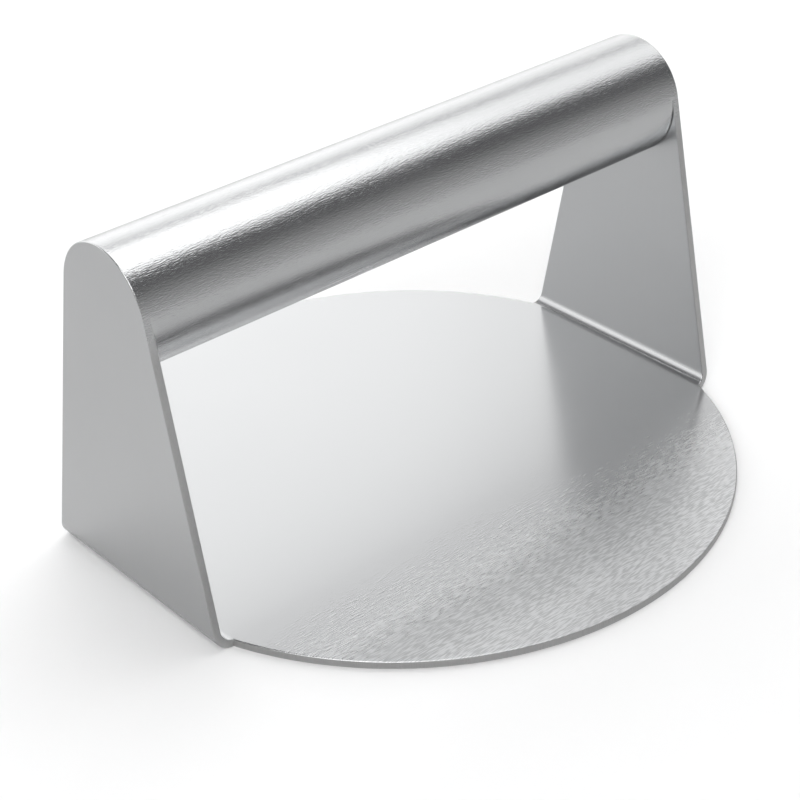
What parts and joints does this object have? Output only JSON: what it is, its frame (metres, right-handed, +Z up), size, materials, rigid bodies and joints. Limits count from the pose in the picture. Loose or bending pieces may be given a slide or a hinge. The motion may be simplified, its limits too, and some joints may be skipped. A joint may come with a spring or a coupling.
{
  "type": "patty press",
  "caption": "Round hand press for flattening a meat patty: a disc with both sides folded up into tapered uprights and a tube handle welded between them.",
  "frame": {"origin": "centre of the round plate's underside, the face that presses", "axes": "+X along the handle's tube, +Y across the handle, +Z up from the plate to the handle"},
  "size_m": [0.1374, 0.14, 0.075],
  "materials": {
    "brushed_sheet": "stainless sheet with a fine straight grain",
    "brushed_tube": "stainless tube polished along its length",
    "ground_weld": "weld ground and polished flush"
  },
  "bodies": {
    "root": {"folded_plate": "brushed_sheet", "handle_tube": "brushed_tube", "handle_weld_left": "ground_weld", "handle_weld_right": "ground_weld"}
  },
  "joints": []
}
